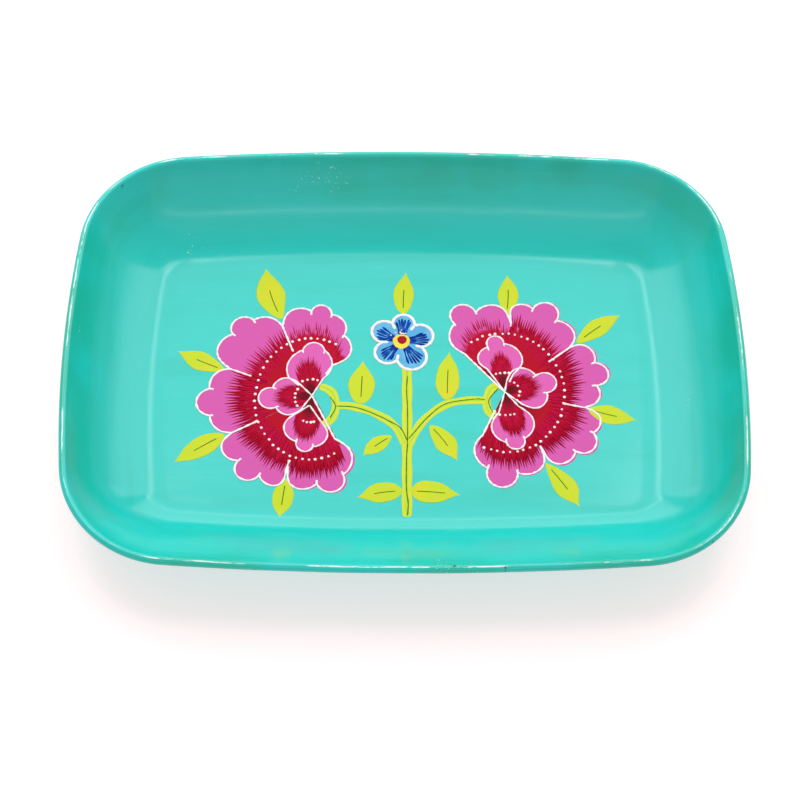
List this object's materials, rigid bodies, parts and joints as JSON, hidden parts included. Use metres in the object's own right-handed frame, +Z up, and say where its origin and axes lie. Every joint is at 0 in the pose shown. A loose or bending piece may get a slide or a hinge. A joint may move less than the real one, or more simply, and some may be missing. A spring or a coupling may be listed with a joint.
{
  "type": "painted serving tray",
  "caption": "Oblong steel tray with rounded corners, sloping walls, a rim rolled round a wire, and a raised painted flower motif on its flat floor.",
  "frame": {"origin": "centre of the underside of the tray's flat base", "axes": "+X along the tray's length, +Y across its width, +Z up out of the open side"},
  "size_m": [0.3, 0.216, 0.0315],
  "materials": {
    "turquoise_enamel": "gloss, hand brushed",
    "wire_steel": "drawn wire",
    "stem_green": "gloss paint",
    "leaf_yellow_green": "gloss paint",
    "petal_pink": "gloss paint, brushed",
    "heart_crimson": "gloss paint, brushed",
    "flower_blue": "gloss paint, brushed",
    "eye_yellow": "gloss paint",
    "spot_red": "gloss paint",
    "vein_dark_green": "gloss paint",
    "line_white": "gloss paint"
  },
  "bodies": {
    "root": {"pan": "turquoise_enamel", "rim_wire": "wire_steel", "stem": "stem_green", "leaves": "leaf_yellow_green", "left_petals": "petal_pink", "right_petals": "petal_pink", "left_heart": "heart_crimson", "right_heart": "heart_crimson", "blue_flower": "flower_blue", "flower_eye": "eye_yellow", "eye_spot": "spot_red", "veins": "vein_dark_green", "petal_outlines": "line_white", "heart_outlines": "line_white", "petal_dots": "line_white", "heart_dots": "line_white"}
  },
  "joints": []
}
